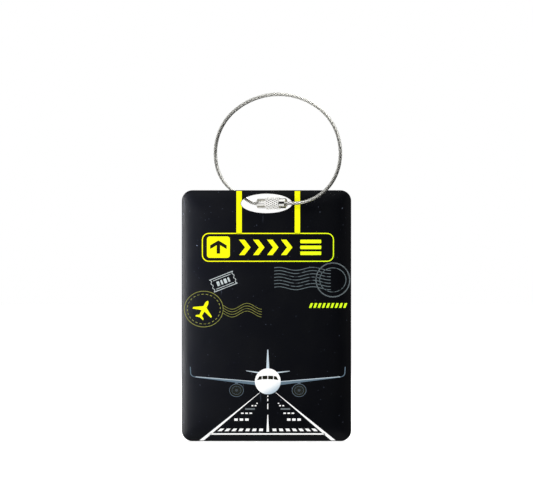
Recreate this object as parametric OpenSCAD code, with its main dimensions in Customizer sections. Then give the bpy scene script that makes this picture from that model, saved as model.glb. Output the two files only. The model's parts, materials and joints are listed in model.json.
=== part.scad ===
// Luggage tag on a steel cable loop.
// The body is a sandwich: a printed front plate, a plastic frame that holds a
// name card, and a back plate with a window. The loop runs through the hang
// slot and closes with a knurled screw clasp that sits inside the slot.
//
// Frame: origin at the centre of the hang slot and of the body's thickness,
// +Z up the tag, +X to the right of someone who faces the printed front, and
// the front faces -Y. All sizes are in millimetres.

/* [Body] */
// Width of the tag body
body_w = 54; // [52:0.5:58]
// Height of the tag body
body_h = 80; // [78:0.5:90]
// Radius of the body's corners
corner_r = 3.4; // [2.6:0.2:5]
// Thickness of the front plate
front_t = 0.8; // [0.6:0.1:1]
// Thickness of each adhesive layer
glue_t = 0.1; // [0.08:0.01:0.15]
// Thickness of the plastic frame between the plates
core_t = 1.1; // [1:0.05:1.2]
// Thickness of the back plate
back_t = 0.7; // [0.6:0.1:0.8]

/* [Hang slot] */
// Width of the oval slot
slot_w = 16.3; // [15.5:0.1:18]
// Height of the oval slot
slot_h = 6.15; // [5.8:0.05:6.6]
// Distance from the slot's centre to the top edge of the body
slot_drop = 4.2; // [4.1:0.1:6]

/* [Card and window] */
// Width of the name card, along the direction it slides
card_w = 50; // [46:1:50]
// Height of the name card
card_h = 57; // [50:1:57]
// Thickness of the name card
card_t = 0.4; // [0.3:0.05:0.45]
// Width of the window in the back plate
window_w = 33; // [28:1:34]
// Height of the window in the back plate
window_h = 46; // [40:1:50]
// Thickness of the window film
film_t = 0.2; // [0.15:0.05:0.25]
// Radius of the thumb notch at the card's mouth
notch_r = 8; // [6:0.5:9]

/* [Clasp] */
// Diameter of the smooth parts of the clasp
clasp_d = 3.2; // [3.1:0.1:3.6]
// Diameter over the knurled grip
grip_d = 3.9; // [3.8:0.1:4.4]
// Length of the barrel
barrel_len = 7.4; // [7:0.1:8]
// Length of the knurled grip
grip_len = 4.5; // [4:0.1:5]
// Length of the plug's smooth head
head_len = 2.2; // [2:0.1:3]
// Thread diameter
thread_d = 2.5; // [2.4:0.1:2.6]
// Thread pitch
pitch = 0.45; // [0.4:0.05:0.45]
// Turns of thread in engagement
turns = 4; // [3:1:4]

/* [Cable] */
// Diameter over the clear jacket
jacket_d = 1.24; // [1.24:0.02:1.32]
// Wall of the clear jacket
jacket_wall = 0.06; // [0.04:0.01:0.06]
// Diameter of each outer strand
strand_d = 0.32; // [0.26:0.02:0.32]
// Diameter of the core strand
core_d = 0.3; // [0.24:0.02:0.3]
// Distance from the cable's axis to each outer strand's axis
strand_orbit = 0.37; // [0.37:0.01:0.38]
// Length along the cable in which a strand goes once round it
lay_len = 8.4; // [8:0.2:12]
// Length of bare strands between the plug and the jacket
bare_len = 2.1; // [1:0.1:3]
// Angle between the loop's plane and the body at rest
cable_yaw = 20; // [20:1:90]

/* [Hidden] */
$fn = 64;

// Layers through the thickness, from the printed front (-Y) to the back (+Y)
body_t = front_t + core_t + back_t + 2 * glue_t;
y_front = -body_t / 2;
y_glue_front = y_front + front_t;
y_core = y_glue_front + glue_t;
y_glue_back = y_core + core_t;
y_back = y_glue_back + glue_t;

// Heights
z_top = slot_drop;
z_bottom = slot_drop - body_h;
z_middle = (z_top + z_bottom) / 2;

// Card pocket in the frame, open towards +X
core_floor_t = 0.3;
side_wall = 2.5;
card_gap = 0.5;
pocket_left = -body_w / 2 + side_wall;
card_left = pocket_left + card_gap;
card_z = -41;
pocket_h = card_h + 2 * card_gap;
pocket_y = y_core + core_floor_t;
card_y = pocket_y + 0.05;
film_y = y_glue_back - film_t - 0.02;
card_corner_r = 1.5;

// Window, its film, and the bands of adhesive round the edges
window_x = -2.5;
window_corner_r = 2;
film_border = 2;
glue_inset = 0.6;

// Clasp stations along its own axis. The barrel meets the plug's head here.
joint_s = 4.5;
barrel_end_s = joint_s - barrel_len;
grip_start_s = joint_s - grip_len;
head_end_s = joint_s + head_len;
stud_len = pitch * turns + 0.05;
end_wall = 0.6;
thread_depth = 0.2;
bore_r = thread_d / 2 + 0.05;
exit_r = 0.85;
ferrule_r = 1.2;
ferrule_len = 1.4;
ferrule_s = barrel_end_s + end_wall + 0.2;
socket_len = 1.5;
chamfer = 0.15;

// Cable path in the loop's plane: [radius, turn in degrees] for an arc that
// turns left, or [length, 0] for a straight run. It leaves the plug, goes up
// the right side, over the top, down the left side and into the barrel.
loop_arcs = [[15.4, 75.5], [17.6, 67.5], [23.6, 75], [17.2, 68], [13.2, 42.5]];
entry_r = 5;
entry_s = barrel_end_s - 0.4;
strand_end_s = ferrule_s + ferrule_len + 0.05;
strand_start_s = head_end_s - socket_len + 0.1;
cable_bore_r = strand_orbit + strand_d / 2 + 0.06;

function move(seg, heading) = seg[1] == 0
    ? seg[0] * [cos(heading), sin(heading)]
    : seg[0] * [sin(heading + seg[1]) - sin(heading),
                cos(heading) - cos(heading + seg[1])];
function headings(segs, first = 0) =
    [for (i = 0, h = first; i <= len(segs);
          h = h + (i < len(segs) ? segs[i][1] : 0), i = i + 1) h];
function places(segs, hs, first) =
    [for (i = 0, p = first; i <= len(segs);
          p = p + (i < len(segs) ? move(segs[i], hs[i]) : [0, 0]), i = i + 1) p];
function run(seg) = seg[1] == 0 ? seg[0] : seg[0] * seg[1] * PI / 180;
function total(segs, i = 0) =
    i == len(segs) ? 0 : run(segs[i]) + total(segs, i + 1);

// The last straight run is as long as it takes to come back down to the
// clasp's axis, and the first arc starts where the loop then closes.
arc_headings = headings(loop_arcs);
arc_places = places(loop_arcs, arc_headings, [0, 0]);
run_heading = arc_headings[len(loop_arcs)];
entry_turn = 360 - run_heading;
arcs_end = arc_places[len(loop_arcs)];
run_len = -(arcs_end[1] + entry_r * (cos(run_heading) - 1)) / sin(run_heading);
first_arc_s = entry_s - arcs_end[0] - run_len * cos(run_heading)
    + entry_r * sin(run_heading);

cable_path = concat(
    [[first_arc_s - strand_start_s, 0]],
    loop_arcs,
    [[run_len, 0], [entry_r, entry_turn], [strand_end_s - entry_s, 0]]
);
cable_headings = headings(cable_path);
cable_places = places(cable_path, cable_headings, [strand_start_s, 0]);
cable_len = total(cable_path);
jacket_start_t = head_end_s + bare_len - strand_start_s;
jacket_end_t = cable_len - (strand_end_s - entry_s) - run([entry_r, entry_turn]);

// Where the cable's axis is after a length t: [s, z, heading]
function seg_at(t, i = 0) = i == len(cable_path) - 1 || t <= run(cable_path[i])
    ? [i, t] : seg_at(t - run(cable_path[i]), i + 1);
function part_of(seg, t) = seg[1] == 0 ? [t, 0] : [seg[0], t / seg[0] * 180 / PI];
function axis_at(t) = let (
    q = seg_at(t),
    h = cable_headings[q[0]],
    bit = part_of(cable_path[q[0]], q[1]),
    p = cable_places[q[0]] + move(bit, h)
) [p[0], p[1], h + bit[1]];

// A point beside the axis: n towards the inside of the loop, b towards -Y
function beside(a, n, b) =
    [a[0] - n * sin(a[2]), -b, a[1] + n * cos(a[2])];

// Steps along the cable, and sides round each section of it
strand_steps = ceil(cable_len / lay_len * 7);
strand_sides = 6;
core_steps = 96;
core_sides = 8;
jacket_steps = 96;
jacket_sides = 16;

// One ring of points round the cable's axis at a length t along it
function ring(t, r, sides, n = 0, b = 0) = [for (k = [0 : sides - 1])
    beside(axis_at(t), n + r * cos(360 * k / sides), b + r * sin(360 * k / sides))];

module body_outline(inset = 0) {
    x = body_w / 2 - corner_r;
    z = body_h / 2 - corner_r;
    r = corner_r - inset;
    translate([0, z_middle]) {
        square([body_w - 2 * inset, 2 * z], center = true);
        square([2 * x, body_h - 2 * inset], center = true);
        for (i = [-1, 1], j = [-1, 1])
            translate([i * x, j * z]) circle(r);
    }
}

module rounded_box(w, h, r) {
    square([w, h - 2 * r], center = true);
    square([w - 2 * r, h], center = true);
    for (i = [-1, 1], j = [-1, 1])
        translate([i * (w / 2 - r), j * (h / 2 - r)]) circle(r);
}

// A flat layer of the body: the outline drawn in X and Z, from y on
module layer(y, t) {
    translate([0, y + t, 0]) rotate([90, 0, 0]) linear_extrude(t) children();
}

module hang_slot(margin = 0) {
    scale([slot_w / 2 + margin, slot_h / 2 + margin]) circle(1);
}

module window(border = 0) {
    translate([window_x, card_z])
        rounded_box(window_w + 2 * border, window_h + 2 * border,
                    window_corner_r + border);
}

module thumb_notch(margin = 0) {
    translate([body_w / 2, card_z]) circle(notch_r + margin);
}

module front_plate() {
    color("#101014") layer(y_front, front_t) difference() {
        body_outline();
        hang_slot();
    }
}

module front_adhesive() {
    color("#d8d4c8") layer(y_glue_front, glue_t) difference() {
        body_outline(glue_inset);
        hang_slot(glue_inset);
    }
}

module core_frame() {
    color("#1b1b1d") difference() {
        layer(y_core, core_t) difference() {
            body_outline();
            hang_slot();
        }
        translate([pocket_left, pocket_y, card_z - pocket_h / 2])
            cube([body_w, core_t, pocket_h]);
    }
}

module window_film() {
    color("#e8f0f2", 0.4) layer(film_y, film_t) window(film_border);
}

module back_adhesive() {
    color("#d8d4c8") layer(y_glue_back, glue_t) difference() {
        body_outline(glue_inset);
        hang_slot(glue_inset);
        window(glue_inset);
        thumb_notch(glue_inset);
        translate([body_w / 2, card_z])
            square([2 * side_wall, pocket_h], center = true);
    }
}

module back_plate() {
    color("#101014") layer(y_back, back_t) difference() {
        body_outline();
        hang_slot();
        window();
        thumb_notch();
    }
}

module name_card() {
    color("#f4f2ec") layer(card_y, card_t)
        translate([card_left + card_w / 2, card_z])
            rounded_box(card_w, card_h, card_corner_r);
}

// Stands the loop's own plane up and swings it to its rest angle
module in_loop() {
    rotate([0, 0, -cable_yaw]) children();
}

// A turned part on the clasp's axis, from [radius, station] points
module turned(profile) {
    in_loop() rotate([0, 90, 0]) rotate_extrude() polygon(profile);
}

module screw_plug() {
    tip_s = joint_s - stud_len;
    crest = thread_d / 2;
    root = crest - thread_depth;
    head_r = clasp_d / 2;
    ridges = [for (i = [0 : turns - 1]) each [
        [crest, tip_s + pitch * (i + 0.4)],
        [crest, tip_s + pitch * (i + 0.6)],
        [root, tip_s + pitch * (i + 1)]
    ]];
    color("#c9cac8") turned(concat(
        [[0, tip_s], [root, tip_s]],
        ridges,
        [[root, joint_s],
         [head_r - chamfer, joint_s], [head_r, joint_s + chamfer],
         [head_r, head_end_s - 2 * chamfer],
         [head_r - 2 * chamfer, head_end_s],
         [cable_bore_r, head_end_s],
         [cable_bore_r, head_end_s - socket_len],
         [0, head_end_s - socket_len]]
    ));
}

module screw_barrel() {
    collar_r = clasp_d / 2;
    grip_r = grip_d / 2;
    color("#d2d2cf") turned([
        [exit_r, barrel_end_s],
        [collar_r - chamfer, barrel_end_s],
        [collar_r, barrel_end_s + chamfer],
        [collar_r, grip_start_s],
        [grip_r - chamfer, grip_start_s],
        [grip_r, grip_start_s + chamfer],
        [grip_r, joint_s - chamfer],
        [grip_r - chamfer, joint_s],
        [bore_r, joint_s],
        [bore_r, barrel_end_s + end_wall],
        [exit_r, barrel_end_s + end_wall]
    ]);
}

module stop_ferrule() {
    color("#b9bab8") turned([
        [cable_bore_r, ferrule_s],
        [ferrule_r - chamfer, ferrule_s],
        [ferrule_r, ferrule_s + chamfer],
        [ferrule_r, ferrule_s + ferrule_len - chamfer],
        [ferrule_r - chamfer, ferrule_s + ferrule_len],
        [cable_bore_r, ferrule_s + ferrule_len]
    ]);
}

// A closed skin over rings of points. An endless one joins its last ring to
// its first, and the others are capped at both ends.
module skin(rings, endless = false) {
    n = len(rings);
    m = len(rings[0]);
    joins = endless ? n : n - 1;
    sides = [for (i = [0 : joins - 1], k = [0 : m - 1]) let (
        here = i * m,
        next = (i + 1) % n * m,
        turn = (k + 1) % m
    ) [here + k, next + k, next + turn, here + turn]];
    ends = endless ? [] : [
        [for (k = [0 : m - 1]) k],
        [for (k = [m - 1 : -1 : 0]) (n - 1) * m + k]
    ];
    in_loop() polyhedron([for (points = rings) each points], concat(sides, ends));
}

module cable_jacket() {
    outer = jacket_d / 2;
    inner = outer - jacket_wall;
    length = jacket_end_t - jacket_start_t;
    at = [for (i = [0 : jacket_steps]) jacket_start_t + length * i / jacket_steps];
    back = [for (i = [jacket_steps : -1 : 0]) at[i]];
    color("#eef2f2", 0.35) skin(concat(
        [for (t = at) ring(t, outer, jacket_sides)],
        [for (t = back) ring(t, inner, jacket_sides)]
    ), endless = true);
}

module cable_core() {
    color("#a8a9a6") skin([for (i = [0 : core_steps])
        ring(cable_len * i / core_steps, core_d / 2, core_sides)]);
}

module cable_strand(number) {
    color("#cfd0cd") skin([for (i = [0 : strand_steps]) let (
        t = cable_len * i / strand_steps,
        turn = 360 * t / lay_len + 60 * number
    ) ring(t, strand_d / 2, strand_sides,
           strand_orbit * cos(turn), strand_orbit * sin(turn))]);
}

front_plate();
front_adhesive();
core_frame();
window_film();
back_adhesive();
back_plate();
name_card();
screw_plug();
screw_barrel();
stop_ferrule();
cable_jacket();
cable_core();
cable_strand(1);  // cable_strand_1
cable_strand(2);  // cable_strand_2
cable_strand(3);  // cable_strand_3
cable_strand(4);  // cable_strand_4
cable_strand(5);  // cable_strand_5
cable_strand(6);  // cable_strand_6
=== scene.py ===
"""Looks of a luggage tag: a printed black plate with a card pocket and a steel cable loop.

The row frame is the CAD frame: origin at the centre of the hang slot, +Z up the tag, and
the printed front faces -Y. Sizes in this script are in millimetres, and mesh_object()
turns them into metres. Points of the print are (x, z) pairs on the front face.
"""

import json
from math import asin, ceil, copysign, cos, degrees, hypot, pi, radians, sin, sqrt

import bmesh
import bpy
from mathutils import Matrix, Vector
from mathutils.geometry import tessellate_polygon

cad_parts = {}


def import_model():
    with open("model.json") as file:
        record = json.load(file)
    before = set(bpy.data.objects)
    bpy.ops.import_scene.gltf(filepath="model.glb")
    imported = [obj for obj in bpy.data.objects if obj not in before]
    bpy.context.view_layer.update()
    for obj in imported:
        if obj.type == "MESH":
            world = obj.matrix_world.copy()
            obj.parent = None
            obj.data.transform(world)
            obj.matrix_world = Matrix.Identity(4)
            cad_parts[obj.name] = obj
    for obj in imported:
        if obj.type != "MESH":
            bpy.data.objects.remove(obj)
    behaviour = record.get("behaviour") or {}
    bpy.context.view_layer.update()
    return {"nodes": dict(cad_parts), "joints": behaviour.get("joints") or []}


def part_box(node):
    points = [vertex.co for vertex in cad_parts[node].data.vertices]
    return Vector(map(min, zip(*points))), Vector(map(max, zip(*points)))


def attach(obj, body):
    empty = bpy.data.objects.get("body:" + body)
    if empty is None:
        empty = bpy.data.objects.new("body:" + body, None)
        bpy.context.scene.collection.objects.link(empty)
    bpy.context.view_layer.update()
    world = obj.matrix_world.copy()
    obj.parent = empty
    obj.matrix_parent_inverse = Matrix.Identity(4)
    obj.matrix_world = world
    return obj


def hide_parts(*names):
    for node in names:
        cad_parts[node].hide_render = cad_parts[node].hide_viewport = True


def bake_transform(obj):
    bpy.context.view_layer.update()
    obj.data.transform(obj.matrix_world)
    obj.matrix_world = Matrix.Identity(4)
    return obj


MM = 0.001
TURN = 2 * pi

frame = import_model()


# ------------ sizes from the frame

def box_of(node):
    """Lowest and highest corner of a CAD node, in millimetres."""
    low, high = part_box(node)
    return low / MM, high / MM


def joint_axis(name):
    """The axis of a joint, as a unit vector."""
    joint = next(j for j in frame["joints"] if j["name"] == name)
    return Vector(joint["axis"]).normalized()


def stations(node):
    """Where a node starts and ends along the clasp's axis, in millimetres."""
    along = [ALONG.dot(v.co) / MM for v in frame["nodes"][node].data.vertices]
    return min(along), max(along)


UP = Vector((0, 0, 1))
ALONG = -joint_axis("clasp_travel")
ACROSS = UP.cross(ALONG)

FRONT_LOW, FRONT_HIGH = box_of("front_plate")
BACK_LOW, BACK_HIGH = box_of("back_plate")
Y_FACE = FRONT_LOW.y
HALF_W = FRONT_HIGH.x
Z_TOP = FRONT_HIGH.z
Z_BOTTOM = FRONT_LOW.z
Z_MIDDLE = (Z_TOP + Z_BOTTOM) / 2
HALF_H = (Z_TOP - Z_BOTTOM) / 2

CORNER_R = 3.4
SLOT_HALF_W = 16.3 / 2
SLOT_HALF_H = 6.15 / 2
RIM_R = 0.25
SLOT_RIM = 0.6
CARD_Z = -41.0
WINDOW = (-2.5, CARD_Z, 33.0, 46.0, 2.0)  # x, z, width, height, corner radius
NOTCH_R = 8.0

BARREL_END, JOINT_S = stations("screw_barrel")
HEAD_END = stations("screw_plug")[1]
COLLAR_R = 1.6
GRIP_R = 1.95
GRIP_LEN = 4.5
BORE_R = 1.30
EXIT_R = 0.85
END_WALL = 0.6
SOCKET_LEN = 1.5
CHAMFER = 0.15
THREAD_R = 1.25
THREAD_DEPTH = 0.2
PITCH = 0.45
TURNS = 4

# The loop's arcs: radius, and turn in degrees.
LOOP_ARCS = ((15.4, 75.5), (17.6, 67.5), (23.6, 75), (17.2, 68), (13.2, 42.5))
ENTRY_R = 5.0
ENTRY_S = BARREL_END - 0.4
STRAND_START_S = HEAD_END - SOCKET_LEN + 0.1
STRAND_END_S = BARREL_END + 2.25
LAY_LEN = 8.4
STRANDS = 6
STRAND_ORBIT = 0.37
STRAND_R = 0.178
STRAND_PRESS = 0.35
STRAND_FLARE = 0.18
CORE_R = 0.15
JACKET_R = 0.56
JACKET_LOBE = 0.05
JACKET_WALL = 0.03
WIRES = 6.0
WIRE_LAY = 1.05
BARE_LEN = 2.1


# ------------ meshes

def mesh_object(name, points, faces, material, sharp=35):
    """A piece from points in millimetres, smooth except at edges sharper than an angle."""
    mesh = bpy.data.meshes.new(name)
    mesh.from_pydata([Vector(p) * MM for p in points], [], faces)
    mesh.materials.append(material)
    work = bmesh.new()
    work.from_mesh(mesh)
    bmesh.ops.recalc_face_normals(work, faces=work.faces)
    work.to_mesh(mesh)
    work.free()
    mesh.shade_smooth()
    mesh.set_sharp_from_angle(angle=radians(sharp))
    piece = bpy.data.objects.new(name, mesh)
    bpy.context.scene.collection.objects.link(piece)
    return piece


def stand_for(piece, node, body):
    """The piece takes a CAD node's place, which it hides, and rides on a body."""
    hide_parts(node)
    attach(piece, body)


def ringed(name, points, sides, material, sharp, closed=False):
    """A skin over rings of points, which closes on itself or has a face at each end."""
    rows = len(points) // sides
    faces = []
    for i in range(rows if closed else rows - 1):
        here, there = i * sides, (i + 1) % rows * sides
        for k in range(sides):
            beyond = (k + 1) % sides
            faces.append((here + k, there + k, there + beyond, here + beyond))
    if not closed:
        faces += [tuple(range(sides)), tuple(range(len(points) - sides, len(points)))]
    return mesh_object(name, points, faces, material, sharp)


def fill(loops):
    """Triangles that fill an outline, which comes first, less its holes."""
    return tessellate_polygon([[Vector((x, z, 0)) for x, z in loop] for loop in loops])


def stacked(loop_levels, levels):
    """Points and faces of a flat solid. loop_levels(level) gives its outline and its holes at
    a rounded edge's inset, and levels are (y, inset) pairs from the front to the back."""
    points, faces, previous = [], [], None
    for number, (y, inset) in enumerate(levels):
        loops = loop_levels(inset)
        start = len(points)
        points += [(x, y, z) for loop in loops for x, z in loop]
        if number in (0, len(levels) - 1):
            faces += [tuple(start + i for i in three) for three in fill(loops)]
        if previous is not None:
            first = 0
            for loop in loops:
                n = len(loop)
                faces += [
                    (previous + first + i, previous + first + (i + 1) % n,
                     start + first + (i + 1) % n, start + first + i)
                    for i in range(n)
                ]
                first += n
        previous = start
    return points, faces


def merged(solids):
    """One list of points and one of faces from several solids."""
    points, faces = [], []
    for more_points, more_faces in solids:
        start = len(points)
        points += more_points
        faces += [tuple(start + i for i in face) for face in more_faces]
    return points, faces


# ------------ flat shapes, in (x, z)

CORNERS = ((1, 1), (-1, 1), (-1, -1), (1, -1))


def all_round(count):
    """Evenly spaced angles of one whole turn, in radians."""
    return [TURN * k / count for k in range(count)]


def arc(x, z, rx, rz, start, end, steps):
    """Points of an ellipse's arc, its angles in degrees, both ends included."""
    angles = [radians(start + (end - start) * i / steps) for i in range(steps + 1)]
    return [(x + rx * cos(a), z + rz * sin(a)) for a in angles]


def ellipse(x, z, rx, rz, steps=48):
    return arc(x, z, rx, rz, 0, 360, steps)[:-1]


def ring(x, z, rx, rz, stroke):
    """An ellipse's outline and its hole, with the stroke inside the radii."""
    return [ellipse(x, z, rx, rz), ellipse(x, z, rx - stroke, rz - stroke)]


def rounded_rect(x, z, w, h, r, steps=6):
    """A rectangle about (x, z) whose corners are quarter rounds."""
    loop = []
    for turn, (i, j) in enumerate(CORNERS):
        loop += arc(x + i * (w / 2 - r), z + j * (h / 2 - r), r, r, 90 * turn, 90 * turn + 90, steps)
    return loop


def rect(x, z, w, h):
    return [(x + i * w / 2, z + j * h / 2) for i, j in CORNERS]


def turned(loop, angle, x, z):
    """A loop turned about the origin and then moved to (x, z)."""
    c, s = cos(radians(angle)), sin(radians(angle))
    return [(x + c * u - s * v, z + s * u + c * v) for u, v in loop]


def mirrored(half):
    """A whole outline from its right half, which runs from the top to the bottom."""
    return half + [(-u, v) for u, v in reversed(half) if abs(u) > 1e-6]


def band(points, width):
    """The outline of a line of a given width along open points."""
    sides = []
    for i, (x, z) in enumerate(points):
        x0, z0 = points[max(i - 1, 0)]
        x1, z1 = points[min(i + 1, len(points) - 1)]
        length = hypot(x1 - x0, z1 - z0)
        sides.append((x, z, (z0 - z1) / length * width / 2, (x1 - x0) / length * width / 2))
    return [(x + u, z + v) for x, z, u, v in sides] + [
        (x - u, z - v) for x, z, u, v in reversed(sides)]


# ------------ materials

def rgb(text):
    """Linear colour from a hexadecimal sRGB one."""
    parts = [int(text[i:i + 2], 16) / 255 for i in (1, 3, 5)]
    return tuple(c / 12.92 if c <= 0.04045 else ((c + 0.055) / 1.055) ** 2.4 for c in parts) + (1,)


def add(tree, kind, inputs=None, **settings):
    """A new node, with its settings and its inputs, which are values or other outputs."""
    made = tree.nodes.new("ShaderNode" + kind)
    for key, value in settings.items():
        setattr(made, key, value)
    for key, value in (inputs or {}).items():
        if isinstance(value, bpy.types.NodeSocket):
            tree.links.new(value, made.inputs[key])
        else:
            made.inputs[key].default_value = value
    return made


def material(name, **inputs):
    """A new material and its node tree. Inputs are the Principled shader's, with _ for a space."""
    made = bpy.data.materials.new(name)
    made.use_nodes = True
    shader = made.node_tree.nodes["Principled BSDF"]
    for key, value in inputs.items():
        shader.inputs[key.replace("_", " ")].default_value = value
    return made, made.node_tree, shader


def place(tree, kind="Object"):
    """Position on the piece, in metres, or another kind of texture coordinate."""
    return add(tree, "TexCoord").outputs[kind]


def coordinates(tree, kind="Object"):
    """The x, y and z of place()."""
    return add(tree, "SeparateXYZ", {0: place(tree, kind)}).outputs[:3]


def noise(tree, size, detail=3.0, stretch=None, seed=0.0):
    """Noise whose features are about size millimetres across, between 0 and 1."""
    where = place(tree)
    if stretch:
        where = add(tree, "Mapping", {"Vector": where, "Scale": stretch}).outputs[0]
    settings = {"Vector": where, "Scale": 1 / (size * MM), "Detail": detail, "W": seed}
    return add(tree, "TexNoise", settings, noise_dimensions="4D").outputs[0]


def between(tree, value, low, high, to_low=0.0, to_high=1.0):
    """A value mapped smoothly from one range to another, and clamped."""
    return add(tree, "MapRange", {
        "Value": value, "From Min": low, "From Max": high, "To Min": to_low, "To Max": to_high,
    }, interpolation_type="SMOOTHSTEP").outputs["Result"]


def maths(tree, operation, result, *others):
    """Arithmetic on values or outputs, from the left to the right."""
    for other in others or (0.0,):
        result = add(tree, "Math", {0: result, 1: other}, operation=operation).outputs[0]
    return result


def blend(tree, factor, a, b):
    """A colour that goes from a to b as the factor goes from 0 to 1. Text is a hexadecimal one."""
    a, b = (rgb(c) if isinstance(c, str) else c for c in (a, b))
    return add(tree, "Mix", {0: factor, 6: a, 7: b}, data_type="RGBA").outputs[2]


def mix(tree, factor, a, b):
    """A value that goes from a to b as the factor goes from 0 to 1."""
    return add(tree, "Mix", {0: factor, 2: a, 3: b}, data_type="FLOAT").outputs[0]


def bump(tree, height, depth, strength=1.0, **under):
    """A normal from a height, its depth in millimetres, over another Normal if one is given."""
    inputs = {"Height": height, "Distance": depth * MM, "Strength": strength, **under}
    return add(tree, "Bump", inputs).outputs[0]


def link(tree, shader, **inputs):
    """Links outputs to the shader's inputs, with _ for a space."""
    for key, value in inputs.items():
        tree.links.new(value, shader.inputs[key.replace("_", " ")])


COAT_BLACK = rgb("#0a0a10")
SOFT_EDGE = 2.6
SOFT_EDGE_SLOPE = 0.66


def edge_distance(tree):
    """How far a point is from the body's nearest edge, in metres, smoothed at the corners."""
    x, _, z = coordinates(tree)
    across = maths(tree, "SUBTRACT", HALF_W * MM, maths(tree, "ABSOLUTE", x))
    height = maths(tree, "ABSOLUTE", maths(tree, "SUBTRACT", z, Z_MIDDLE * MM))
    along = maths(tree, "SUBTRACT", HALF_H * MM, height)
    return add(tree, "Math", {0: across, 1: along, 2: SOFT_EDGE * MM}, operation="SMOOTH_MIN").outputs[0]


def coating_material():
    """Satin black coating that rounds off softly at the body's edges, with orange peel and dust."""
    made, tree, shader = material("black_coating", Specular_IOR_Level=0.08)
    cloud = noise(tree, 9, 4)
    dust = between(tree, noise(tree, 0.6, 1, seed=3), 0.74, 0.80)
    rubs = between(tree, noise(tree, 1.4, 2, stretch=(1, 1, 0.12), seed=5), 0.72, 0.80, 0, 0.4)
    base = blend(tree, cloud, "#030409", "#050609")
    specks = maths(tree, "MAXIMUM", dust, rubs)
    depth = maths(tree, "DIVIDE", edge_distance(tree), -SOFT_EDGE * MM)
    rise = maths(tree, "SUBTRACT", 1.0, maths(tree, "EXPONENT", depth))
    edge = bump(tree, rise, SOFT_EDGE * SOFT_EDGE_SLOPE)
    link(tree, shader,
         Base_Color=blend(tree, specks, base, "#49505e"),
         Roughness=between(tree, cloud, 0.3, 0.7, 0.40, 0.48),
         Normal=bump(tree, noise(tree, 0.35, 2, seed=1), 0.006, 0.5, Normal=edge))
    return made


def ink_material(name, colour, other=None, wear=0.0):
    """Printed ink: a fine grain, a drift of colour down and to the right, and worn spots."""
    made, tree, shader = material("ink_" + name, Specular_IOR_Level=0.1)
    x, _, z = coordinates(tree)
    drift = between(tree, maths(tree, "SUBTRACT", x, z), 0.005, 0.05)
    base = blend(tree, drift, colour, other or colour)
    grain = between(tree, noise(tree, 0.12, 2, seed=2), 0.3, 0.7, 0, 0.10)
    spots = between(tree, noise(tree, 1.3, 3, seed=7), 0.52, 0.66, 0, wear)
    link(tree, shader,
         Base_Color=blend(tree, maths(tree, "MAXIMUM", grain, spots), base, COAT_BLACK),
         Roughness=between(tree, noise(tree, 0.5, 2), 0.3, 0.7, 0.42, 0.6),
         Normal=bump(tree, noise(tree, 0.08, 1, seed=4), 0.002, 0.4))
    return made


def fuselage_material():
    """White ink that shades to blue-grey at the lower right, as a lit round nose does."""
    made, tree, shader = material("ink_fuselage", Roughness=0.5, Specular_IOR_Level=0.1)
    x, _, z = coordinates(tree)
    fall = maths(tree, "SUBTRACT", maths(tree, "MULTIPLY", x, 0.6), z)
    shade = between(tree, fall, 0.0580, 0.0625)
    grain = between(tree, noise(tree, 0.15, 2, seed=2), 0.3, 0.7, 0, 0.08)
    base = blend(tree, shade, "#ffffff", "#9fb6c6")
    link(tree, shader, Base_Color=blend(tree, grain, base, "#55606c"))
    return made


def steel_material(name, low, high):
    """Polished steel with a haze like fingerprints: its roughness lies between low and high."""
    made, tree, shader = material(name, Metallic=1.0)
    haze = noise(tree, 0.9, 3)
    link(tree, shader,
         Base_Color=blend(tree, haze, "#d6d5d0", "#ecebe8"),
         Roughness=between(tree, haze, 0.3, 0.7, low, high),
         Normal=bump(tree, noise(tree, 0.05, 2, seed=1), 0.0015, 0.35))
    return made


def knurl_material():
    """Steel of the knurled grip: painted shade darkens the pits where the grooves cross, unevenly, and a
    fine bump stands for tool marks.
    """
    made, tree, shader = material("knurled_steel", Metallic=0.35)
    pit = add(tree, "Attribute", attribute_name="pit").outputs["Fac"]
    uneven = maths(tree, "MULTIPLY", noise(tree, 0.3), 0.06)
    # Painted shade: the pits where the grooves cross go dark, unevenly.
    painted_pit_shade = between(tree, maths(tree, "ADD", pit, uneven), 0.2, 0.42)
    link(tree, shader,
         Base_Color=blend(tree, painted_pit_shade, "#fdfcf9", "#12110d"),
         Roughness=between(tree, pit, 0.0, 0.3, 0.3, 0.6),
         Normal=bump(tree, noise(tree, 0.06, 2), 0.002, 0.2))
    return made


def strand_material():
    """A strand of drawn wires: their lay shows as slanted grooves, with painted shade in the creases
    between the wires, and painted shade on each strand's side that faces its neighbours and the core."""
    made, tree, shader = material("strand_steel", Metallic=1.0)
    uv = add(tree, "UVMap", uv_map="lay").outputs[0]
    u, v = add(tree, "SeparateXYZ", {0: uv}).outputs[:2]
    count = maths(tree, "SUBTRACT", maths(tree, "MULTIPLY", u, WIRES), v)
    wires = maths(tree, "ABSOLUTE", maths(tree, "SINE", maths(tree, "MULTIPLY", count, pi)))
    # Painted shade: dark lines in the creases between the wires.
    lines = between(tree, wires, 0.05, 0.5, 0.95, 0.0)
    # Painted shade on each strand's side that faces the core and its neighbours.
    inward = maths(tree, "ABSOLUTE", maths(tree, "SUBTRACT", maths(tree, "FRACT", u), 0.5))
    strand_gap_shade = between(tree, inward, 0.27, 0.37, 0.8, 0.0)
    dark = maths(tree, "MAXIMUM", lines, strand_gap_shade)
    link(tree, shader,
         Base_Color=blend(tree, dark, "#f8f7f3", "#12110f"),
         Roughness=between(tree, noise(tree, 0.4), 0.3, 0.7, 0.26, 0.36),
         Normal=bump(tree, wires, 0.012, 0.6))
    return made


def punched_material():
    """Bare aluminium of a punched wall, scored across its thickness."""
    made, tree, shader = material("punched_aluminium", Metallic=0.5)
    scores = noise(tree, 0.12, 3, stretch=(1, 0.08, 1), seed=9)
    link(tree, shader,
         Base_Color=blend(tree, scores, "#d9d8d2", "#f2f1ec"),
         Roughness=between(tree, scores, 0.3, 0.7, 0.4, 0.55),
         Normal=bump(tree, scores, 0.01, 0.4))
    return made


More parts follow.
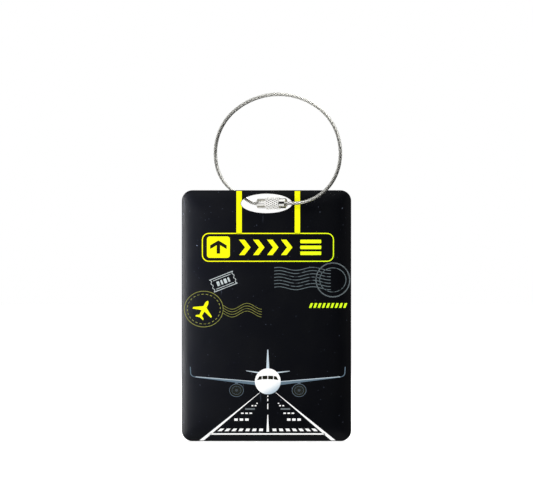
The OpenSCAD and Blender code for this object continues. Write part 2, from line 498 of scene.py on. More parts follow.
def see_through(tree, tint, share, gloss):
    """Light passes straight through, less the share that a gloss layer takes."""
    clear = add(tree, "BsdfTransparent", {"Color": rgb(tint)})
    shine = add(tree, "BsdfGlossy", {"Color": rgb("#ffffff"), **gloss})
    mixed = add(tree, "MixShader", {0: share, 1: clear.outputs[0], 2: shine.outputs[0]})
    tree.links.new(mixed.outputs[0], tree.nodes["Material Output"].inputs["Surface"])


def jacket_material():
    """Clear nylon skin: see-through, with a gloss that grows at a glancing angle."""
    made, tree, _ = material("clear_jacket")
    ripple = bump(tree, noise(tree, 1.1, 2), 0.02, 0.3)
    facing = add(tree, "LayerWeight", {"Blend": 0.5, "Normal": ripple}).outputs["Facing"]
    glancing = maths(tree, "MULTIPLY", maths(tree, "POWER", facing, 4.0), 0.35)
    share = maths(tree, "ADD", 0.02, glancing)
    see_through(tree, "#fcfcfb", share, {"Roughness": 0.12, "Normal": ripple})
    return made


def film_material():
    """Clear window film: mostly see-through, with light scuffs."""
    made, tree, _ = material("window_film")
    scuffs = between(tree, noise(tree, 2.5, 4, stretch=(1, 1, 0.3), seed=6), 0.5, 0.8, 0.02, 0.12)
    see_through(tree, "#f6f6f5", maths(tree, "ADD", scuffs, 0.03), {"Roughness": scuffs})
    return made


def card_material():
    """Uncoated card: pale cream, with fibres."""
    made, tree, shader = material("card_stock", Roughness=0.85)
    fibres = noise(tree, 0.4, 5, stretch=(1, 1, 0.25), seed=2)
    link(tree, shader,
         Base_Color=blend(tree, fibres, "#ece6d6", "#ddd5c1"),
         Normal=bump(tree, fibres, 0.02, 0.5))
    return made


def plastic_material():
    """Moulded black plastic with a fine grain, rubbed pale by the cable round the slot."""
    made, tree, shader = material("frame_plastic")
    grain = noise(tree, 0.15, 3)
    x, _, z = coordinates(tree)
    wide = maths(tree, "POWER", maths(tree, "DIVIDE", x, SLOT_HALF_W * MM), 2.0)
    high = maths(tree, "POWER", maths(tree, "DIVIDE", z, SLOT_HALF_H * MM), 2.0)
    rubbed = between(tree, maths(tree, "ADD", wide, high), 1.15, 1.5, 0.9, 0.0)
    link(tree, shader,
         Base_Color=blend(tree, rubbed, "#17171a", "#bdbab0"),
         Roughness=between(tree, grain, 0.3, 0.7, 0.5, 0.7),
         Normal=bump(tree, grain, 0.015, 0.6))
    return made


def adhesive_material():
    """Milky tape with tiny trapped bubbles."""
    made, tree, shader = material("adhesive_tape", Roughness=0.35)
    bubbles = between(tree, noise(tree, 0.25, 2, seed=8), 0.6, 0.75)
    link(tree, shader,
         Base_Color=blend(tree, bubbles, "#cfc9b6", "#efece0"),
         Normal=bump(tree, bubbles, 0.01, 0.5))
    return made


# ------------ the two plates

def plate_outline(inset, notch=False):
    """The body's outline drawn in by an inset, with the thumb notch at its +X edge if asked."""
    w, h = 2 * (HALF_W - inset), 2 * (HALF_H - inset)
    loop = rounded_rect(0, Z_MIDDLE, w, h, CORNER_R - inset, 12)
    if notch:
        wide = NOTCH_R + inset
        tilt = degrees(asin(inset / wide))
        loop += arc(HALF_W, CARD_Z, wide, wide, 270 - tilt, 90 + tilt, 32)
    return loop


def slot_outline(outset):
    """The hang slot's outline, moved out square to its edge."""
    loop = []
    for x, z in ellipse(0, 0, SLOT_HALF_W, SLOT_HALF_H, 96):
        u, v = x / SLOT_HALF_W ** 2, z / SLOT_HALF_H ** 2
        size = hypot(u, v)
        loop.append((x + u / size * outset, z + v / size * outset))
    return loop


def window_outline(outset):
    """The card window's outline, moved out square to its edge."""
    x, z, w, h, r = WINDOW
    return rounded_rect(x, z, w + 2 * outset, h + 2 * outset, r + outset, 8)


def rounded_levels(y_out, y_in, edge, steps=6):
    """(y, inset) pairs from a face with a rounded rim to one with a small chamfer."""
    way = 1 if y_in > y_out else -1
    bend = [radians(90 * i / steps) for i in range(steps + 1)]
    rim = [(y_out + way * edge * (1 - cos(b)), edge * (1 - sin(b))) for b in bend]
    return rim + [(y_in - way * 0.08, 0.0), (y_in, 0.08)]


def bare_slot_wall(skin, metal):
    """The slot is punched after the coating, so its wall is bare metal."""
    wall_reach, wall_slope = 1.02, 0.3
    skin.data.materials.append(metal)
    for face in skin.data.polygons:
        x, _, z = face.center / MM
        reach = hypot(x / SLOT_HALF_W, z / SLOT_HALF_H)
        if reach < wall_reach and abs(face.normal.y) < wall_slope:
            face.material_index = 1


def plate(node, outlines, levels, coating, metal):
    """One of the body's two plates. Weighted normals keep its faces flat beside the rims."""
    points, faces = stacked(outlines, levels)
    skin = mesh_object(node + "_skin", points, faces, coating, 50)
    skin.modifiers.new("flat_faces", "WEIGHTED_NORMAL").keep_sharp = True
    bare_slot_wall(skin, metal)
    stand_for(skin, node, "tag")
    return skin


def front_plate(coating, metal):
    """The plate that carries the print."""
    def outlines(inset):
        return [plate_outline(inset), slot_outline(inset * SLOT_RIM)]

    levels = rounded_levels(Y_FACE, FRONT_HIGH.y, RIM_R)
    return plate("front_plate", outlines, levels, coating, metal)


def back_plate(coating, metal):
    """The plate with the card's window, and a notch for the thumb."""
    def outlines(inset):
        return [plate_outline(inset, notch=True), slot_outline(inset * SLOT_RIM), window_outline(inset)]

    levels = rounded_levels(BACK_HIGH.y, BACK_LOW.y, RIM_R * 0.8)
    return plate("back_plate", outlines, levels, coating, metal)


# ------------ the print

INK_STEP = 0.012
INK_SINK = 0.01


def printed(name, shapes, colour, outer_y, inner_y, body):
    """Shapes printed on a flat face. Each is an outline, or an outline and its holes."""
    solids = []
    for shape in shapes:
        loops = shape if isinstance(shape[0], list) else [shape]
        solids.append(stacked(lambda _, loops=loops: loops, ((outer_y, 0), (inner_y, 0))))
    points, faces = merged(solids)
    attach(mesh_object(name, points, faces, colour, 20), body)


def ink(name, shapes, colour, layer=1):
    """Shapes printed on the front face, where a higher layer covers a lower one."""
    printed("print_" + name, shapes, colour, Y_FACE - INK_STEP * layer, Y_FACE + INK_SINK, "tag")


def hanger(x, width, bottom):
    """A stripe from the top edge down to the sign, cut back where it meets the slot."""
    top = Z_TOP - RIM_R
    rim = RIM_R * SLOT_RIM
    wide, high = SLOT_HALF_W + rim, SLOT_HALF_H + rim
    heights = [bottom + (top - bottom) * i / 80 for i in range(81)]
    inner = []
    for z in heights:
        reach = wide * sqrt(max(0.0, 1 - (z / high) ** 2))
        near = abs(x) - width / 2
        inner.append((copysign(max(near, reach), x), z))
    far = copysign(abs(x) + width / 2, x)
    return inner + [(far, top), (far, bottom)]


def sign_board(yellow, black):
    """The sign hangs from the top edge on two stripes, and points ahead."""
    left, right, top, bottom = -20.6, 21.5, -9.42, -18.62
    corner, stroke = 2.2, 0.32
    x, z, w, h = (left + right) / 2, (top + bottom) / 2, right - left, top - bottom
    outline = [rounded_rect(x, z, w, h, corner),
               rounded_rect(x, z, w - 2 * stroke, h - 2 * stroke, corner - stroke)]
    hangers = [hanger(hx, 1.72, top - stroke / 2) for hx in (-8.74, 9.85)]
    tile_x, tile_z = -15.33, -13.97
    tile = rounded_rect(tile_x, tile_z, 7.33, 6.82, 0.9)
    ink("sign", [outline, tile] + hangers, yellow)
    arrow = mirrored([(0, 2.15), (2.63, 0.6), (2.63, -0.62), (0.56, 0.62), (0.56, -2.05)])
    ink("sign_arrow", [turned(arrow, 0, tile_x, tile_z)], black, 2)


def sign_pattern(yellow):
    """A row of plain chevrons and three bars fills the rest of the sign."""
    z, half, stroke = -14.03, 2.45, 1.75
    chevron = [(0, half), (stroke, half), (stroke + 1.9, 0), (stroke, -half), (0, -half), (1.9, 0)]
    first, pitch, count = -8.73, 4.45, 4
    shapes = [turned(chevron, 0, first + pitch * i, z) for i in range(count)]
    bar_h = 1.15
    shapes += [rounded_rect(14.1, z + (half - bar_h / 2) * i, 6.66, bar_h, 0.2) for i in (-1, 0, 1)]
    ink("sign_pattern", shapes, yellow)


def ticket(grey):
    """A tilted ticket: scalloped ends, a double line along each long side, plain bars inside."""
    x, z, tilt = -13.74, -24.96, 21.5
    half_w, half_h, stroke, teeth = 4.0, 2.15, 0.22, 3

    def outline(inset):
        """The ticket's edge, drawn in by an inset, with a row of bites at each end."""
        w, h = half_w - inset, half_h - inset
        bite = half_h / teeth / 1.6
        loop = []
        for side in (1, -1):
            loop.append((side * w, -side * h))
            for i in range(teeth):
                middle = -side * half_h + side * (2 * i + 1) * half_h / teeth
                loop += arc(side * w, middle, -side * bite * 0.8, bite, -90 * side, 90 * side, 6)
            loop.append((side * w, side * h))
        return loop

    shapes = [[turned(outline(0), tilt, x, z), turned(outline(stroke), tilt, x, z)]]
    shapes += [turned(rect(0, line_z, 5.9, 0.18), tilt, x, z) for line_z in (1.42, -1.42)]
    for i, width in enumerate((1.2, 0.8, 1.2, 0.8)):
        shapes.append(turned(rounded_rect(-1.75 + 1.2 * i, 0, width * 0.75, 1.5, 0.15), tilt, x, z))
    ink("ticket", shapes, grey)


def wave(x0, x1, z, crest_x, amplitude, length, stroke):
    """A wavy line from x0 to x1 with a crest at crest_x."""
    steps = max(8, int((x1 - x0) / length * 24))
    xs = [x0 + (x1 - x0) * i / steps for i in range(steps + 1)]
    points = [(x, z + amplitude * cos(TURN * (x - crest_x) / length)) for x in xs]
    return band(points, stroke)


def plane_postmark(olive, yellow):
    """A round mark with a dashed ring and a small aeroplane seen from above, and its waves."""
    x, z = -20.0, -33.7
    dashes, dash = 24, 8.0
    shapes = [ring(x, z, 6.26, 5.78, 0.15)]
    for i in range(dashes):
        start = 360 * i / dashes
        shapes.append(band(arc(x, z, 5.26, 4.75, start, start + dash, 4), 0.17))
    for i in range(4):
        shapes.append(wave(-13.8, -1.5, -32.8 - 0.83 * i, -6.2, 0.95, 9.55, 0.11))
    ink("postmark_left", shapes, olive)
    half = [(0, 3.15), (0.36, 2.75), (0.55, 2.1), (0.55, 0.95), (3.3, -0.75), (3.3, -1.3), (0.52, -0.45),
            (0.42, -2.0), (1.35, -2.65), (1.35, -3.1), (0.0, -2.75)]
    ink("plane_mark", [turned(mirrored(half), -27, x - 0.05, z - 0.15)], yellow)


def grey_postmark(grey, pale):
    """Seven waves, and a ring inside a beaded one that reaches the right edge of the face."""
    x, z = 21.15, -24.4
    shapes = [wave(2.45, 20.46, -20.87 - 1.03 * i, 3.9, 0.48, 10.85, 0.21) for i in range(7)]
    shapes.append(ring(x, z, 4.3, 3.95, 0.2))
    beads, wide, high, line = 84, 5.38, 5.4, 0.14
    beaded = [ring(x, z, wide + line / 2, high + line / 2, line)]
    for angle in all_round(beads):
        beaded.append(turned(rounded_rect(0, 0, 0.42, 0.2, 0.09, 2), degrees(angle),
                             x + wide * cos(angle), z + high * sin(angle)))
    ink("postmark_right", shapes, grey)
    ink("postmark_beads", beaded, pale)


def small_bars(yellow):
    """A row of small slanted blocks under the right postmark."""
    left, right, top, bottom = 13.55, 25.8, -31.8, -33.3
    count, lean = 9, 0.55
    pitch = (right - left) / count
    width = pitch * 0.55
    shapes = []
    for i in range(count):
        x = left + pitch * i
        shapes.append([(x, bottom), (x + width, bottom), (x + width + lean, top), (x + lean, top)])
    ink("small_bars", shapes, yellow)


def wing(side, root_x, tip_x, tip_z, top_z):
    """A wing seen from ahead, with a light leading edge and an upturned tip."""
    root_top, root_low = -56.75, -57.95
    sheet = [(root_x, root_top), (tip_x, tip_z), (tip_x - side * 0.4, tip_z - 0.32), (root_x, root_low)]
    turn_r = 1.3
    curve = arc(tip_x - side * 0.3, tip_z - 0.1 + turn_r, side * turn_r, turn_r, -90, -12, 8)
    curve.append((curve[-1][0] + side * 0.12, top_z))
    edge = [(root_x, root_top - 0.1), (tip_x - side * 0.6, tip_z - 0.13)]
    return sheet, band(edge, 0.2), band(curve, 0.24)


def engines(inks):
    """Two engines seen from ahead: a rim, a pylon, and blades round a hub."""
    z, wide, high = -59.6, 2.3, 2.1
    blade = [(0.7, -0.03), (1.3, -0.05), (1.3, 0.05), (0.7, 0.03)]
    intakes, rims, hubs = [], [], []
    for x in (-9.56, 10.39):
        intakes.append(ellipse(x, z, wide, high))
        rims += [ring(x, z, wide, high, 0.14), ring(x, z, 1.5, 1.38, 0.08)]
        rims.append([(x - 0.35, -57.0), (x + 0.35, -57.0), (x + 0.5, -57.45), (x - 0.5, -57.45)])
        hubs.append(ellipse(x, z, 0.5, 0.46, 24))
        hubs += [turned(blade, 30 * i, x, z) for i in range(12)]
    ink("engine_intakes", intakes, inks["black"], 2)
    ink("engine_rings", rims, inks["rim"], 3)
    ink("engine_hubs", hubs, inks["shade"], 3)


def aeroplane(inks, body_white):
    """An aeroplane seen from the front, coming in over the runway."""
    x, z, radius = 0.41, -56.74, 4.12
    fin = [(0.25, -46.64), (0.55, -46.64), (0.9, -52.9), (-0.08, -52.9)]
    tails = [[(-6.53, -53.3), (-6.53, -53.45), (-2.4, -54.2), (-2.4, -53.75)],
             [(7.36, -53.4), (7.36, -53.55), (3.2, -54.2), (3.2, -53.75)]]
    ink("plane_tail", [fin] + tails, inks["silver"])
    sheets, edges = [], []
    for side, root_x, tip_x in ((-1, -3.2, -23.2), (1, 4.0, 24.0)):
        sheet, edge, winglet = wing(side, root_x, tip_x, -55.15, -52.1)
        sheets += [sheet, winglet]
        edges.append(edge)
    ink("plane_wings", sheets, inks["wing"])
    ink("plane_wing_edges", edges, inks["silver"], 2)
    engines(inks)
    ink("plane_body", [ellipse(x, z, radius, radius)], body_white, 3)
    panes = [[(-3.0, -56.35), (-2.35, -55.2), (-1.5, -55.0), (-1.5, -56.1)],
             [(-1.3, -56.1), (-1.3, -54.98), (0.3, -54.92), (0.3, -56.05)],
             [(0.52, -56.05), (0.52, -54.92), (2.12, -54.98), (2.12, -56.1)],
             [(2.32, -56.1), (2.32, -55.0), (3.17, -55.2), (3.82, -56.35)]]
    ink("plane_windows", panes, inks["black"], 4)


def runway(white, grey):
    """The runway runs away from the viewer: edge lines, threshold keys, centre line, marks."""
    top, base = -60.3, Z_BOTTOM + RIM_R
    shapes = [[(-2.2, top), (-2.05, top), (-19.95, base), (-21.4, base)],
              [(2.85, top), (3.0, top), (22.05, base), (20.56, base)]]
    middle, far_z, near_z = 0.4, -58.0, -72.2
    shapes.append([(-18.0, -73.74), (-17.75, -73.28), (18.5, -73.28), (18.8, -73.74)])
    shapes.append([(middle - 0.13, -67.4), (middle + 0.13, -67.4), (middle + 0.4, -72.8),
                   (middle - 0.4, -72.8)])

    def leaned(x, z):
        """x of a lengthwise line at height z, where x is its place at the keys' height."""
        return middle + (x - middle) * (z - far_z) / (near_z - far_z)

    keys_aside, pitch, width, top, bottom = 7, 2.13, 1.22, -71.78, -72.62
    for i in range(-keys_aside, keys_aside + 1):
        if i:
            corners = ((-1, top), (1, top), (1, bottom), (-1, bottom))
            key_x = middle + pitch * i
            shapes.append([(leaned(key_x + j * width / 2, z), z) for j, z in corners])
    for top, bottom in ((-63.85, -65.6), (-62.26, -63.05), (-61.24, -61.7)):
        shapes.append(rect(middle, (top + bottom) / 2, 0.3, top - bottom))
    rows = (((-9.7, -8.0, -6.25, 7.1, 8.73, 10.4), -68.93, 1.1, 0.74),
            ((-7.7, -6.35, -5.0, 5.8, 7.1, 8.4), -66.9, 0.83, 0.42),
            ((-4.5, -3.5, 4.34, 5.33), -64.5, 0.55, 0.37),
            ((-3.0, 3.83), -63.75, 0.45, 0.3))
    for xs, z, w, h in rows:
        shapes += [rect(x, z, w, h) for x in xs]
    ink("runway", shapes, white)
    ink("runway_bars", [rect(-5.25, -65.55, 3.07, 0.5), rect(6.03, -65.55, 3.05, 0.5)], grey)


def print_front(black):
    """The whole print. Black ink stands for the coating where it shows through other inks."""
    yellow = ink_material("yellow", "#FFFF00", "#D8FF18")
    inks = {
        "black": black,
        "silver": ink_material("silver", "#c4d2dc"),
        "wing": ink_material("wing", "#6f8595", "#607483"),
        "shade": ink_material("shade", "#3d444a"),
        "rim": ink_material("rim", "#8496a6", "#5d6c7a"),
    }
    sign_board(yellow, black)
    sign_pattern(yellow)
    ticket(ink_material("pale", "#c3ccce", wear=0.35))
    plane_postmark(ink_material("olive", "#9a9c4c", wear=0.5), yellow)
    slate = ink_material("slate", "#616d71", wear=0.85)
    grey_postmark(slate, ink_material("beads", "#7d888c", wear=0.3))
    small_bars(yellow)
    aeroplane(inks, fuselage_material())
    runway(ink_material("white", "#ffffff"), ink_material("grey", "#6b7276"))


# ------------ the card

def card_print():
    """A blank form on the card's back face, which shows through the window."""
    face = box_of("name_card")[1].y
    x, _, w, h, _ = WINDOW
    shapes = [[rounded_rect(x, CARD_Z, w - 3, h - 3, 1.5),
               rounded_rect(x, CARD_Z, w - 3.6, h - 3.6, 1.2)]]
    lines, pitch = 5, 6.6
    for i in range(lines):
        z = CARD_Z + 9.5 - pitch * i
        shapes.append(rect(x, z, w - 8, 0.18))
        shapes.append(rect(x + w / 2 - 6, z + 3.6, 4, 0.7))
    shapes.append(rounded_rect(x, CARD_Z + 18.2, w - 8, 3.2, 0.6))
    colour = ink_material("form", "#3c4654")
    printed("card_form", shapes, colour, face + INK_STEP, face - INK_SINK, "card")


# ------------ the clasp

def on_clasp(s, radius, angle):
    """A point beside the clasp's axis, the angle in radians from straight up."""
    side = UP * cos(angle) + ALONG.cross(UP) * sin(angle)
    return ALONG * s + side * radius


def revolved(profile, sides):
    """Rings of points round the clasp's axis, from (radius, station) pairs."""
    return [on_clasp(s, r, a) for r, s in profile for a in all_round(sides)]


def bend(r0, s0, r1, s1, steps=4, outward=True):
    """A quarter round between two (radius, station) corners, both included."""
    out = []
    for i in range(steps + 1):
        b = radians(90 * i / steps)
        u, v = (sin(b), 1 - cos(b)) if outward else (1 - cos(b), sin(b))
        out.append((r0 + (r1 - r0) * u, s0 + (s1 - s0) * v))
    return out


CLASP_SIDES = 72
THREAD_SIDES = 48
RIDGE_HALF_W = 0.42
KNURLS = 18
KNURL_LEN = 1.36
KNURL_DEPTH = 0.2
KNURL_HALF_W = 0.45
KNURL_SIDES = KNURLS * 14
KNURL_ROWS = 64


def knurl_at(s, angle, first, last):
    """How deep the knurl's grooves are at a place, and how near it is to where two cross."""
    turns = KNURLS * angle / TURN
    depths = []
    for lean in (1, -1):
        phase = turns + lean * s / KNURL_LEN
        depths.append(max(0.0, 1 - abs(phase - round(phase)) / KNURL_HALF_W))
    fade = max(0.0, min(1.0, (s - first) / CHAMFER, (last - s) / CHAMFER))
    return max(depths) * fade, depths[0] * depths[1] * fade


def knurl_skin(first, last, inner_r, knurled):
    """The grip's knurled skin, closed inwards at both ends. Its pit values mark where the grooves cross,
    which the material paints dark as shade.
    """
    root = GRIP_R - KNURL_DEPTH - 0.02
    end_pits = [0.1] * (2 * KNURL_SIDES)
    points = revolved([(inner_r, first), (root, first)], KNURL_SIDES)
    pits = list(end_pits)
    for row in range(KNURL_ROWS + 1):
        s = first + (last - first) * row / KNURL_ROWS
        edge = min(s - first, last - s)
        shoulder = CHAMFER * (1 - min(1.0, edge / CHAMFER)) ** 2
        for angle in all_round(KNURL_SIDES):
            depth, pit = knurl_at(s, angle, first, last)
            points.append(on_clasp(s, GRIP_R - shoulder - KNURL_DEPTH * depth, angle))
            pits.append(pit)
    points += revolved([(root, last), (inner_r, last)], KNURL_SIDES)
    pits += end_pits
    skin = ringed("screw_barrel_knurl", points, KNURL_SIDES, knurled, 28, closed=True)
    skin.data.attributes.new("pit", "FLOAT", "POINT").data.foreach_set("value", pits)
    return skin


def barrel(steel, knurled):
    """The turning half: a smooth collar and bore, and the knurled grip as its own skin."""
    grip = JOINT_S - GRIP_LEN
    neck = GRIP_R - KNURL_DEPTH - 0.12
    profile = [(EXIT_R, BARREL_END)]
    profile += bend(COLLAR_R - CHAMFER, BARREL_END, COLLAR_R, BARREL_END + CHAMFER)
    profile += [(COLLAR_R, grip + 0.02), (neck, grip + 0.06), (neck, JOINT_S - 0.06),
                (BORE_R + 0.1, JOINT_S - 0.02), (BORE_R, JOINT_S - 0.12),
                (BORE_R, BARREL_END + END_WALL), (EXIT_R, BARREL_END + END_WALL)]
    points = revolved(profile, CLASP_SIDES)
    body = ringed("screw_barrel_body", points, CLASP_SIDES, steel, 40, closed=True)
    for piece in (body, knurl_skin(grip, JOINT_S, neck - 0.1, knurled)):
        stand_for(piece, "screw_barrel", "barrel")
    return body


def plug(steel):
    """The fixed half: a head with a bevelled end and a socket for the cable, and its stud."""
    root = THREAD_R - THREAD_DEPTH
    socket_r = STRAND_ORBIT + STRAND_R + 0.06
    profile = [(root - 0.1, JOINT_S - 0.1), (root - 0.05, JOINT_S)]
    profile += bend(COLLAR_R - CHAMFER, JOINT_S, COLLAR_R, JOINT_S + CHAMFER)
    profile += bend(COLLAR_R, HEAD_END - 2 * CHAMFER, COLLAR_R - 2 * CHAMFER, HEAD_END, outward=False)
    profile += [(socket_r + 0.08, HEAD_END), (socket_r, HEAD_END - 0.08),
                (socket_r, HEAD_END - SOCKET_LEN), (0.05, HEAD_END - SOCKET_LEN)]
    head = ringed("screw_plug_head", revolved(profile, CLASP_SIDES), CLASP_SIDES, steel, 40)
    for piece in (head, stud(root, steel)):
        stand_for(piece, "screw_plug", "cable")
    return head


def stud(root, steel):
    """The plug's stud, with a helical thread that fades out at both ends."""
    tip = JOINT_S - PITCH * TURNS - 0.05
    rows = 12 * TURNS + 6
    points = revolved([(0.3, tip), (root - 0.12, tip)], THREAD_SIDES)
    for row in range(rows + 1):
        s = tip + 0.08 + (JOINT_S + 0.02 - tip - 0.08) * row / rows
        for k in range(THREAD_SIDES):
            turn = k / THREAD_SIDES
            phase = (s / PITCH - turn) % 1.0
            ridge = max(0.0, 1 - abs(phase - 0.5) / RIDGE_HALF_W)
            fade = max(0.0, min(1.0, (s - tip) / PITCH, (JOINT_S - 0.1 - s) / 0.2))
            points.append(on_clasp(s, root + THREAD_DEPTH * ridge * fade, TURN * turn))
    return ringed("screw_plug_stud", points, THREAD_SIDES, steel, 40)


# ------------ the cable

def after_arc(s, z, heading, radius, turn):
    """Station, height and heading at the end of an arc, the turn in radians."""
    after = heading + turn
    return s + radius * (sin(after) - sin(heading)), z + radius * (cos(heading) - cos(after)), after


def segments():
    """The cable's path as pairs of length, and radius or None. Its last straight run but one
    closes the height, and its first one closes the length, as in the CAD model."""
    s = z = heading = 0.0
    for radius, turn in LOOP_ARCS:
        s, z, heading = after_arc(s, z, heading, radius, radians(turn))
    entry_turn = TURN - heading
    run = -(z + ENTRY_R * (cos(heading) - 1)) / sin(heading)
    first_arc = ENTRY_S - s - run * cos(heading) + ENTRY_R * sin(heading)
    path = [(first_arc - STRAND_START_S, None)]
    path += [(radius * radians(turn), radius) for radius, turn in LOOP_ARCS]
    path += [(run, None), (ENTRY_R * entry_turn, ENTRY_R), (STRAND_END_S - ENTRY_S, None)]
    return path


PATH = segments()
CABLE_LEN = sum(part[0] for part in PATH)
ENTRY_LEN = PATH[-1][0] + PATH[-2][0]


def axis_at(t):
    """Station, height and heading of the cable's axis after a length t."""
    s, z, heading = STRAND_START_S, 0.0, 0.0
    for number, (length, radius) in enumerate(PATH):
        step = t if number == len(PATH) - 1 else min(t, length)
        if radius is None:
            s += step * cos(heading)
            z += step * sin(heading)
        else:
            s, z, heading = after_arc(s, z, heading, radius, step / radius)
        t -= step
        if t <= 0:
            break
    return s, z, heading


def beside(axis, n, b):
    """A point n towards the inside of the loop and b towards the front of its plane."""
    s, z, heading = axis
    return ALONG * (s - n * sin(heading)) - ACROSS * b + UP * (z + n * cos(heading))


STEPS_PER_MM = 3.2
SPLIT_T = sum(part[0] for part in PATH[:4])
SPLIT_AXIS = axis_at(SPLIT_T)


def lengths(start, end):
    """Evenly spaced places along the cable, both ends included."""
    steps = ceil((end - start) * STEPS_PER_MM)
    return [start + (end - start) * i / steps for i in range(steps + 1)]


def lay_angle(t):
    """How far the strands have turned round the cable after a length t."""
    return TURN * t / LAY_LEN


def round_section(radius, sides):
    """(outward, sideways) points of a round section, from its outer side."""
    return [(radius * cos(a), radius * sin(a)) for a in all_round(sides)]


def pressed_section(radius, sides):
    """A strand's section: its outer side is pressed to the round of the cable, and flares."""
    points = []
    for out, side in round_section(1.0, sides):
        above = max(0.0, out)
        flat = above ** STRAND_PRESS if out > 1e-6 else out
        points.append((radius * flat, radius * side * (1 + STRAND_FLARE * above)))
    return points


def lobed_section(radius, sides):
    """A round section that bulges a little on each strand."""
    points = []
    for a in all_round(sides):
        r = radius + JACKET_LOBE * (1 + cos(STRANDS * a)) / 2
        points.append((r * cos(a), r * sin(a)))
    return points


def wound(places, section, orbit=0.0, first_turn=0.0):
    """Rings of points: a section that winds round the cable's axis."""
    points = []
    for t in places:
        axis = axis_at(t)
        turn = lay_angle(t) + first_turn
        c, s = cos(turn), sin(turn)
        for out, side in section:
            points.append(beside(axis, (orbit + out) * c - side * s, (orbit + out) * s + side * c))
    return points


def wire(name, start, end, section, metal, orbit=0.0, first_turn=0.0):
    """A strand or the core, between two places along the cable."""
    places = lengths(start, end)
    points = wound(places, section, orbit, first_turn)
    piece = ringed(name, points, len(section), metal, 60)
    wind(piece, places, len(section))
    return piece


def jacket(name, start, end, clear):
    """A hollow skin drawn tight over the strands."""
    sides = 36
    places = lengths(start, end)
    points = wound(places, lobed_section(JACKET_R, sides))
    points += wound(places[::-1], lobed_section(JACKET_R - JACKET_WALL, sides))
    return ringed(name, points, sides, clear, 50, closed=True)


def wind(piece, places, sides):
    """Coordinates for the wires of a strand: round it, and along it in lay lengths."""
    layer = piece.data.uv_layers.new(name="lay")
    corners = sides * (len(places) - 1)
    for face in piece.data.polygons:
        wraps = face.index < corners and face.index % sides == sides - 1
        for loop in face.loop_indices:
            row, k = divmod(piece.data.loops[loop].vertex_index, sides)
            around = k / sides + (1.0 if wraps and k == 0 else 0.0)
            layer.data[loop].uv = (around, places[row] / WIRE_LAY)


def follow(piece, node, tail):
    """Rides on the cable, or, past the split, stays where it is built, on no body."""
    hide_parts(node)
    if not tail:
        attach(piece, "cable")
        return
    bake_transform(piece)


def cable(strand_steel, clear):
    """Six strands round a core, in a clear skin, cut in two where the tail starts to bend."""
    spans = (("", 0.0, SPLIT_T, False), ("_tail", SPLIT_T, CABLE_LEN, True))
    strands = []
    for label, start, end, tail in spans:
        core = wire("cable_core_wire" + label, start, end, round_section(CORE_R, 10), strand_steel)
        follow(core, "cable_core", tail)
        for k in range(1, STRANDS + 1):
            strand = wire(f"strand_{k}{label}", start, end, pressed_section(STRAND_R, 22),
                          strand_steel, STRAND_ORBIT, TURN * k / STRANDS)
            follow(strand, f"cable_strand_{k}", tail)
            strands.append(strand)
    first = HEAD_END + BARE_LEN - STRAND_START_S
    last = CABLE_LEN - ENTRY_LEN
    for label, start, end, tail in (("", first, SPLIT_T, False), ("_tail", SPLIT_T, last, True)):
        skin = jacket("cable_jacket_skin" + label, start, end, clear)
        follow(skin, "cable_jacket", tail)
    return strands


# ------------ carried-over nodes

def coat_nodes(materials):
    """Gives each carried-over CAD node its material."""
    for node, made in materials.items():
        mesh = frame["nodes"][node].data
        mesh.materials.clear()
        mesh.materials.append(made)


# ------------ scene

CAMERA_Z = -15.03
CAMERA_DISTANCE = 1200.0
FIELD_W = 169.9
SENSOR_W = 36.0
FLOOR_R = 3000.0
BODY_MIDDLE = (0, 0, -20)


def camera():
    """Straight on to the printed face, from far enough to look nearly parallel."""
    data = bpy.data.cameras.new("camera")
    data.sensor_width = SENSOR_W
    data.lens = SENSOR_W * CAMERA_DISTANCE / FIELD_W
    data.clip_end = 20
    made = bpy.data.objects.new("camera", data)
    made.location = Vector((0, Y_FACE - CAMERA_DISTANCE, CAMERA_Z)) * MM
    made.rotation_euler = (radians(90), 0, 0)
    bpy.context.scene.collection.objects.link(made)
    bpy.context.scene.camera = made


def area_light(name, place_mm, size, power, target_mm=BODY_MIDDLE, only=(), skip=()):
    """A soft light at a place, turned to a target. Flags may keep it to some pieces only, or
    off some."""
    data = bpy.data.lights.new(name, "AREA")
    data.shape = "RECTANGLE"
    data.size, data.size_y = size[0] * MM, size[1] * MM
    data.energy = power
    lamp = bpy.data.objects.new(name, data)
    lamp.location = Vector(place_mm) * MM
    way = Vector(target_mm) - Vector(place_mm)
    lamp.rotation_euler = way.to_track_quat("-Z", "Y").to_euler()
    if only or skip:
        flags = bpy.data.collections.new(name + "_flags")
        for piece in only or skip:
            flags.objects.link(piece)
        for entry in flags.collection_objects:
            entry.light_linking.link_state = "INCLUDE" if only else "EXCLUDE"
        lamp.light_linking.receiver_collection = flags
    bpy.context.scene.collection.objects.link(lamp)


def lights(plates, clasp, strands):
    """The studio's lights. Flags keep some to the pieces whose reflections call for them."""
    area_light("key", (-260, -420, 330), (260, 260), 1.0, skip=clasp)
    area_light("fill", (420, -300, 120), (200, 300), 0.3)
    area_light("left_sheen", (-52, -14, -36), (6, 130), 0.2, (-10, 0, -36), only=plates)
    area_light("cable_top", (260, -400, 290), (350, 350), 0.9, (3, 0, 20), only=strands)
    area_light("rear", (150, 420, 300), (260, 260), 1.5)


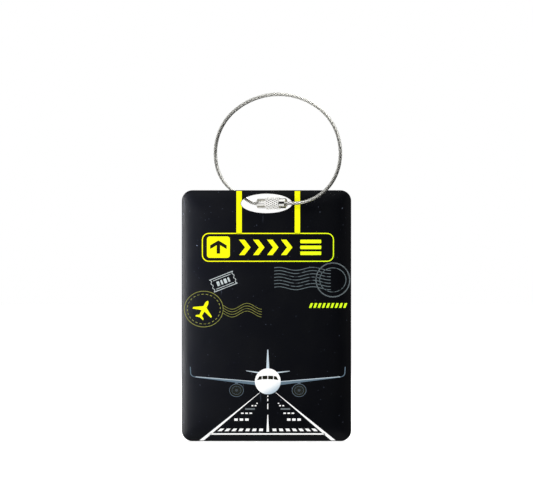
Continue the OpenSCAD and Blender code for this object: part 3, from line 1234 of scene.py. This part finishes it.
def world():
    """White to the eye, and an even light to matt surfaces. Mirrors see a studio with dark gaps."""
    made = bpy.data.worlds.new("studio")
    bpy.context.scene.world = made
    made.use_nodes = True
    tree = made.node_tree
    out = tree.nodes["Background"]
    x, y, z = coordinates(tree, "Generated")
    above = between(tree, z, 0.58, 0.72, 0.0, 1.3)
    left = between(tree, x, -0.74, -0.88, 0.0, 1.2)
    behind = between(tree, y, 0.35, 0.7, 0.0, 0.9)
    low = maths(tree, "MULTIPLY", z, 0.6)
    lower_right = maths(tree, "SUBTRACT", maths(tree, "MULTIPLY", x, 0.8), low)
    open_side = between(tree, lower_right, 0.15, 0.5, 1.0, 0.0)
    bright = maths(tree, "MAXIMUM", above, left, behind)
    right = maths(tree, "MULTIPLY", between(tree, x, 0.55, 0.8), between(tree, z, 0.05, 0.3))
    studio = maths(tree, "MAXIMUM", maths(tree, "MULTIPLY", bright, open_side), right)
    studio = maths(tree, "ADD", studio, 0.02)
    rays = add(tree, "LightPath").outputs
    on_matt, to_the_eye = 0.62, 1.0
    level = mix(tree, rays["Is Glossy Ray"], on_matt, studio)
    level = mix(tree, rays["Is Camera Ray"], level, to_the_eye)
    link(tree, out, Strength=level)
    out.inputs["Color"].default_value = rgb("#ffffff")
    made.cycles.sampling_method = "NONE"


def floor():
    """A plain pale floor that the tag stands on, which glows a little to the eye and to matt surfaces.
    To mirrors it is painted dark, with glowing strips in front and behind, to the left, and under the
    tag, like white cards on a dark table."""
    made, tree, shader = material("floor_paint", Roughness=0.9)
    shader.inputs["Emission Color"].default_value = (1, 1, 1, 1)
    mirrored_in = add(tree, "LightPath").outputs["Is Glossy Ray"]
    x, y, _ = coordinates(tree)
    depth = maths(tree, "ABSOLUTE", y)
    sideways = maths(tree, "ABSOLUTE", x)
    ahead = maths(tree, "MULTIPLY", between(tree, depth, 0.022, 0.032),
                  between(tree, depth, 0.19, 0.24, 1, 0), between(tree, x, -0.012, 0.002, 1, 0))
    left = maths(tree, "MULTIPLY", between(tree, x, -0.035, -0.055), between(tree, x, -0.2, -0.15))
    under = maths(tree, "MULTIPLY", between(tree, depth, 0.007, 0.011, 1, 0),
                  between(tree, sideways, 0.028, 0.034, 1, 0))
    # Strips that glow only in mirrors; to mirrors the rest of the floor is painted dark.
    cards = maths(tree, "MAXIMUM", ahead, left, under)
    pale = blend(tree, noise(tree, 60), "#f4f4f2", "#f9f9f8")
    own_light = mix(tree, mirrored_in, 0.45, cards)
    link(tree, shader,
         Base_Color=blend(tree, mirrored_in, pale, "#101010"),
         Emission_Strength=own_light)
    points = [(u, v, Z_BOTTOM - 0.02) for u, v in ellipse(0, 0, FLOOR_R, FLOOR_R, 96)]
    mesh_object("floor", points, [tuple(range(len(points)))], made)


def look():
    """Plain view colours, and a denoiser that keeps the knurl and the strands."""
    scene = bpy.context.scene
    scene.view_settings.view_transform = "Standard"
    scene.view_settings.look = "None"
    scene.cycles.denoising_prefilter = "NONE"


coating = coating_material()
turned_steel = steel_material("clasp_steel", 0.06, 0.16)
punched = punched_material()
plates = [front_plate(coating, punched), back_plate(coating, punched)]
print_front(ink_material("black", "#1a1b10"))
card_print()
clasp = [barrel(turned_steel, knurl_material()), plug(turned_steel)]
strands = cable(strand_material(), jacket_material())
tape = adhesive_material()
coat_nodes({
    "front_adhesive": tape,
    "back_adhesive": tape,
    "core_frame": plastic_material(),
    "window_film": film_material(),
    "name_card": card_material(),
    "stop_ferrule": steel_material("ferrule_steel", 0.2, 0.35),
})
camera()
lights(plates, clasp, strands)
world()
floor()
look()
